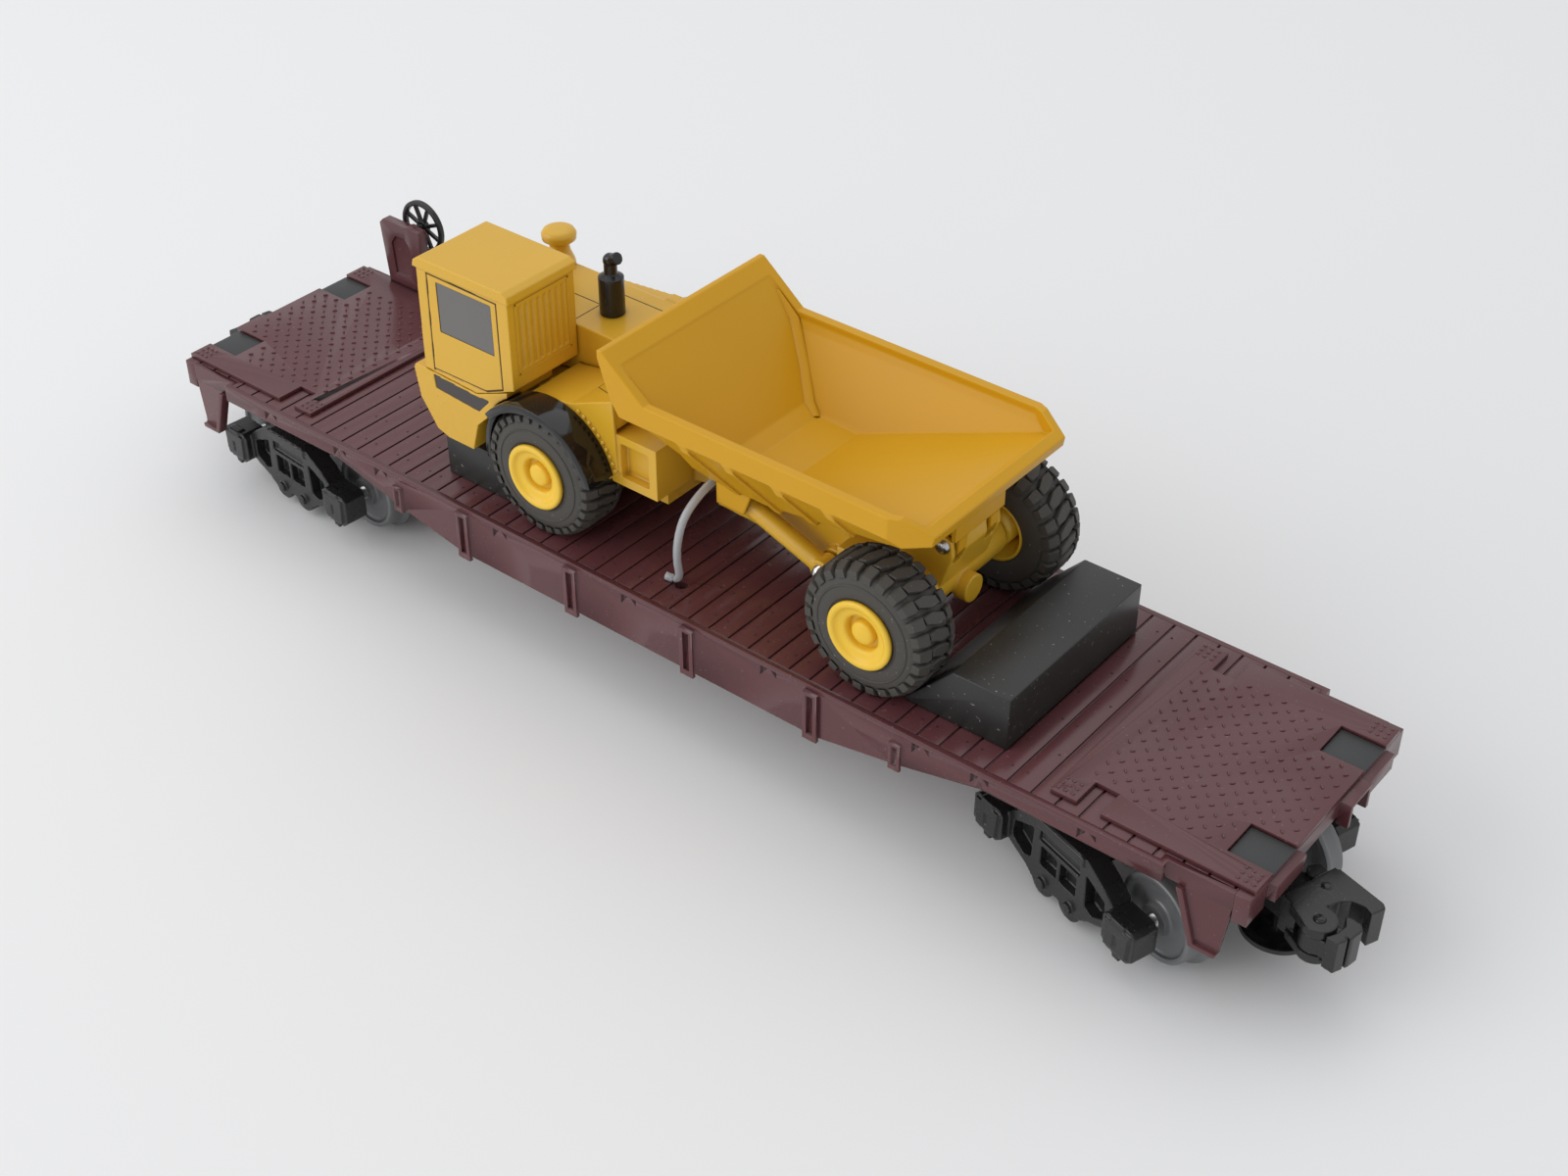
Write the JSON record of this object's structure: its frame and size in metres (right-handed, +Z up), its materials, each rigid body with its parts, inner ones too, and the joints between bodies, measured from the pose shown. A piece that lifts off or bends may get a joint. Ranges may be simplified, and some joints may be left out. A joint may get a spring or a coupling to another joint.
{
  "type": "model flat car",
  "caption": "Model railway flat car with planked deck and tread-plate ends, on swivelling bogies with knuckle couplers, carrying a chocked and tied-down dump truck whose bed tips.",
  "frame": {"origin": "on the plane of the wheel flanges' lowest points, under the middle of the car, midway between the kingpins", "axes": "+X along the car towards the end without the hand brake, +Y towards the side that has the hand brake, +Z up"},
  "size_m": [0.3125, 0.0676, 0.0844],
  "materials": {
    "body_plastic": "semi-gloss moulded",
    "pad_rubber": "matt",
    "black_plastic": "satin",
    "cast_black": "satin black die-cast",
    "wheel_metal": "blackened grey",
    "steel": "plain",
    "clear_tie": "translucent",
    "yellow_enamel": "gloss enamel",
    "window_grey": "gloss opaque",
    "tyre_rubber": "matt"
  },
  "bodies": {
    "car": {"deck": "body_plastic", "tread_plate_left": "body_plastic", "tread_plate_right": "body_plastic", "side_sill_near": "body_plastic", "side_sill_far": "body_plastic", "end_beam_left": "body_plastic", "end_beam_right": "body_plastic", "corner_steps": "body_plastic", "corner_pads": "pad_rubber", "centre_sill": "body_plastic", "body_bolsters": "body_plastic", "kingpins": "steel", "brake_stand": "body_plastic", "wheel_chock_front": "black_plastic", "wheel_chock_rear": "black_plastic", "tie_strap": "clear_tie", "truck_front_frame": "yellow_enamel", "truck_cab": "yellow_enamel", "cab_windows": "window_grey", "cab_belt_panel": "window_grey", "engine_hood": "yellow_enamel", "air_cleaner": "yellow_enamel", "exhaust_stack": "black_plastic", "front_fenders": "black_plastic", "hitch_pin": "steel", "truck_rear_frame": "yellow_enamel", "bed_hinge_pin": "steel", "hoist_pins": "steel"},
    "brake_wheel": {"brake_wheel": "black_plastic"},
    "truck_front_wheels": {"truck_axle_front": "steel", "truck_hubs_front": "yellow_enamel", "truck_tyres_front": "tyre_rubber"},
    "truck_rear_wheels": {"truck_axle_rear": "steel", "truck_hubs_rear": "yellow_enamel", "truck_tyres_rear": "tyre_rubber"},
    "dump_bed": {"dump_bed": "yellow_enamel"},
    "hoist_barrels": {"hoist_barrels": "yellow_enamel"},
    "hoist_rods": {"hoist_rods": "steel"},
    "bogie_left": {"bogie_frame_left": "cast_black", "sideframe_near_left": "cast_black", "sideframe_far_left": "cast_black"},
    "wheelset_outer_left": {"axle_outer_left": "steel", "wheels_outer_left": "wheel_metal"},
    "wheelset_inner_left": {"axle_inner_left": "steel", "wheels_inner_left": "wheel_metal"},
    "coupler_left": {"coupler_left": "cast_black", "knuckle_pin_left": "cast_black"},
    "knuckle_left": {"knuckle_left": "cast_black"},
    "uncoupler_left": {"uncoupling_disc_left": "black_plastic"},
    "bogie_right": {"bogie_frame_right": "cast_black", "sideframe_near_right": "cast_black", "sideframe_far_right": "cast_black"},
    "wheelset_outer_right": {"axle_outer_right": "steel", "wheels_outer_right": "wheel_metal"},
    "wheelset_inner_right": {"axle_inner_right": "steel", "wheels_inner_right": "wheel_metal"},
    "coupler_right": {"coupler_right": "cast_black", "knuckle_pin_right": "cast_black"},
    "knuckle_right": {"knuckle_right": "cast_black"},
    "uncoupler_right": {"uncoupling_disc_right": "black_plastic"}
  },
  "joints": [
    {"name": "bogie_left_swivel", "type": "hinge", "parent": "car", "child": "bogie_left", "pos_m": [-0.1085, 0, 0.0182], "axis": [0, 0, 1], "range_deg": [-14.7, 24.3]},
    {"name": "wheelset_outer_left_spin", "type": "hinge", "parent": "bogie_left", "child": "wheelset_outer_left", "pos_m": [-0.12738, 0.00159, 0.0106], "axis": [-0.0837, -0.9965, 0], "continuous": true},
    {"name": "wheelset_inner_left_spin", "type": "hinge", "parent": "bogie_left", "child": "wheelset_inner_left", "pos_m": [-0.08962, -0.00159, 0.0106], "axis": [-0.0837, -0.9965, 0], "continuous": true},
    {"name": "coupler_left_swing", "type": "hinge", "parent": "bogie_left", "child": "coupler_left", "pos_m": [-0.13491, 0.00222, 0.018], "axis": [0, 0, 1], "range_deg": [-7, 7]},
    {"name": "knuckle_left_open", "type": "hinge", "parent": "coupler_left", "child": "knuckle_left", "pos_m": [-0.15048, 0.00674, 0.018], "axis": [0, 0, -1], "range_deg": [0, 45]},
    {"name": "uncoupler_left_pull", "type": "slide", "parent": "coupler_left", "child": "uncoupler_left", "axis": [0, 0, -1], "range_m": [0, 0.0015], "stiffness_N_per_m": 40, "springref_m": -0.0005},
    {"name": "bogie_right_swivel", "type": "hinge", "parent": "car", "child": "bogie_right", "pos_m": [0.1085, 0, 0.0182], "axis": [0, 0, 1], "range_deg": [-1.5, 37.5]},
    {"name": "wheelset_outer_right_spin", "type": "hinge", "parent": "bogie_right", "child": "wheelset_outer_right", "pos_m": [0.12652, -0.00586, 0.0106], "axis": [0.309, 0.9511, 0], "continuous": true},
    {"name": "wheelset_inner_right_spin", "type": "hinge", "parent": "bogie_right", "child": "wheelset_inner_right", "pos_m": [0.09048, 0.00586, 0.0106], "axis": [0.309, 0.9511, 0], "continuous": true},
    {"name": "coupler_right_swing", "type": "hinge", "parent": "bogie_right", "child": "coupler_right", "pos_m": [0.1337, -0.00819, 0.018], "axis": [0, 0, 1], "range_deg": [-7, 7]},
    {"name": "knuckle_right_open", "type": "hinge", "parent": "coupler_right", "child": "knuckle_right", "pos_m": [0.14784, -0.01615, 0.018], "axis": [0, 0, -1], "range_deg": [0, 45]},
    {"name": "uncoupler_right_pull", "type": "slide", "parent": "coupler_right", "child": "uncoupler_right", "axis": [0, 0, -1], "range_m": [0, 0.0015], "stiffness_N_per_m": 40, "springref_m": -0.0005},
    {"name": "brake_wheel_spin", "type": "hinge", "parent": "car", "child": "brake_wheel", "pos_m": [-0.121, 0.0312, 0.0473], "axis": [0, 1, 0], "continuous": true},
    {"name": "truck_front_wheels_spin", "type": "hinge", "parent": "car", "child": "truck_front_wheels", "pos_m": [-0.0272, 0, 0.0455], "axis": [0, 1, 0], "continuous": true},
    {"name": "truck_rear_wheels_spin", "type": "hinge", "parent": "car", "child": "truck_rear_wheels", "pos_m": [0.0555, 0, 0.0455], "axis": [0, 1, 0], "continuous": true},
    {"name": "bed_tip", "type": "hinge", "parent": "car", "child": "dump_bed", "pos_m": [0.06, 0, 0.057], "axis": [0, 1, 0], "range_deg": [0, 38]},
    {"name": "hoist_swing", "type": "hinge", "parent": "car", "child": "hoist_barrels", "pos_m": [0.036, 0, 0.0434], "axis": [0, 1, 0], "range_deg": [0, 50]},
    {"name": "hoist_extend", "type": "slide", "parent": "hoist_barrels", "child": "hoist_rods", "axis": [-0.9425, 0, 0.3342], "range_m": [0, 0.0175]}
  ],
  "couplings": [
    {"joint": "hoist_swing", "follows": "bed_tip", "ratio": 1.31},
    {"joint": "hoist_extend", "follows": "bed_tip", "m_per_rad": 0.0255}
  ]
}
